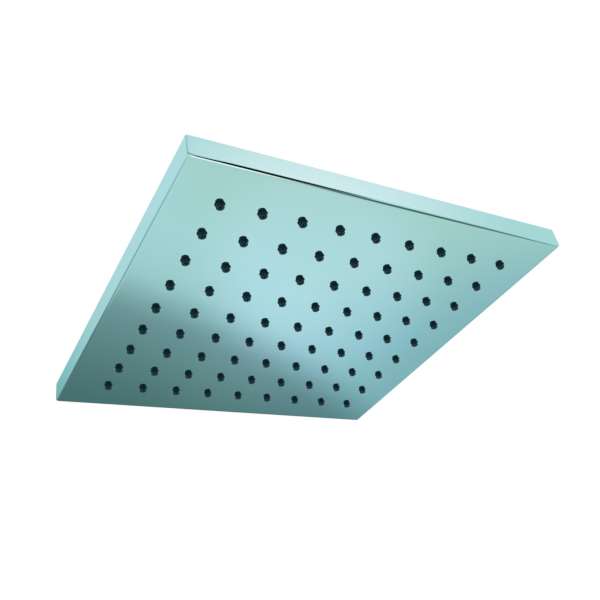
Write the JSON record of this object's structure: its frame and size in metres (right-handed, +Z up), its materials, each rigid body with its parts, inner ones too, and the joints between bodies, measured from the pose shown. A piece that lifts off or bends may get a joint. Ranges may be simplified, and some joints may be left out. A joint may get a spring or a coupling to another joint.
{
  "type": "rain shower head",
  "caption": "Square slab rain shower head with a pierced mirror-plated spray face, soft dark nozzles and a ball joint with a female inlet thread on its back.",
  "frame": {"origin": "centre of the inlet's mouth, on the axis of the inlet thread", "axes": "+Z up along the inlet thread, out of its mouth; the spray face looks down along -Z; X and Y run along the sides of the square head"},
  "size_m": [0.2, 0.2, 0.0608],
  "materials": {
    "plated_plastic": "polished",
    "plated_brass": "polished",
    "nozzle_silicone": "satin",
    "inner_plastic": "satin",
    "seal_rubber": "matte",
    "ring_nylon": "satin",
    "filter_steel": "satin"
  },
  "bodies": {
    "inlet": {"ball_connector": "plated_brass", "inlet_washer": "seal_rubber", "filter_screen": "filter_steel"},
    "ball_ring": {"friction_ring": "ring_nylon"},
    "ball_seat": {"ball_seal": "seal_rubber"},
    "head": {"face_shell": "plated_plastic", "nozzle_mat": "nozzle_silicone", "clamp_plate": "inner_plastic", "chamber_gasket": "seal_rubber", "back_cover": "plated_plastic", "collar_nut": "plated_plastic"}
  },
  "joints": [
    {"name": "tilt_front", "type": "hinge", "parent": "inlet", "child": "ball_ring", "pos_m": [0, 0, -0.03451], "axis": [1, 0, 0], "range_deg": [-15, 15]},
    {"name": "tilt_side", "type": "hinge", "parent": "ball_ring", "child": "ball_seat", "pos_m": [0, 0, -0.03451], "axis": [0, 1, 0], "range_deg": [-15, 15]},
    {"name": "turn", "type": "hinge", "parent": "ball_seat", "child": "head", "pos_m": [0, 0, -0.03451], "axis": [0, 0, 1], "continuous": true}
  ]
}
